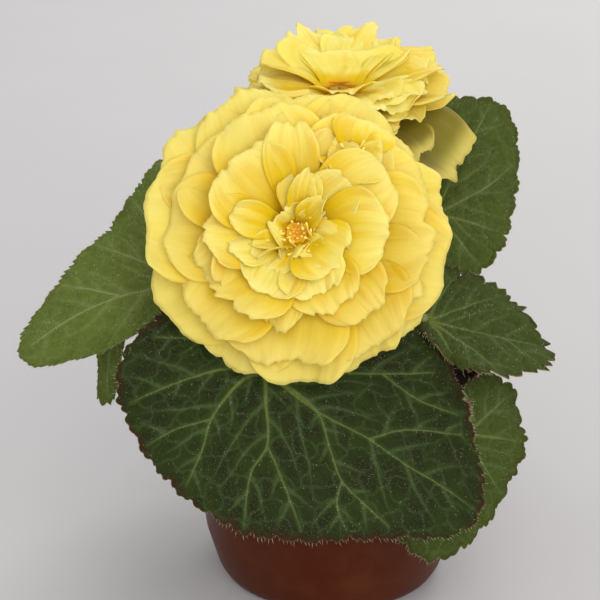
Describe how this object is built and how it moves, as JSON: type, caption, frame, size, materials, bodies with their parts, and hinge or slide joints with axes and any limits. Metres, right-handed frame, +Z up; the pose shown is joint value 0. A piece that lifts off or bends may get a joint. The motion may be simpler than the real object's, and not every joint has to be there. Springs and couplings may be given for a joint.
{
  "type": "potted tuberous begonia",
  "caption": "Tuberous begonia in a round nursery pot, with layered double blooms and broad toothed leaves on a fleshy forked stem.",
  "frame": {"origin": "centre of the pot's underside, on the flat disc it stands on", "axes": "+Z up, through the pot's mouth; -Y towards the front of the plant, where the front bloom faces; +X to the right seen from the front"},
  "size_m": [0.2006, 0.1837, 0.2142],
  "materials": {
    "pot_plastic": "satin",
    "potting_soil": "matte",
    "tuber_skin": "matte",
    "stem_skin": "satin",
    "leaf_green": "matte",
    "petal_yellow": "matte",
    "stamen_gold": "matte"
  },
  "bodies": {
    "root": {"pot": "pot_plastic", "soil": "potting_soil", "tuber": "tuber_skin", "stem": "stem_skin", "leaf_front": "leaf_green", "leaf_left": "leaf_green", "leaf_left_small": "leaf_green", "leaf_right_upper": "leaf_green", "leaf_right": "leaf_green", "leaf_right_lower": "leaf_green", "leaf_back_left": "leaf_green", "leaf_back_right": "leaf_green", "front_bloom": "petal_yellow", "rear_bloom": "petal_yellow", "front_stamens": "stamen_gold"}
  },
  "joints": []
}
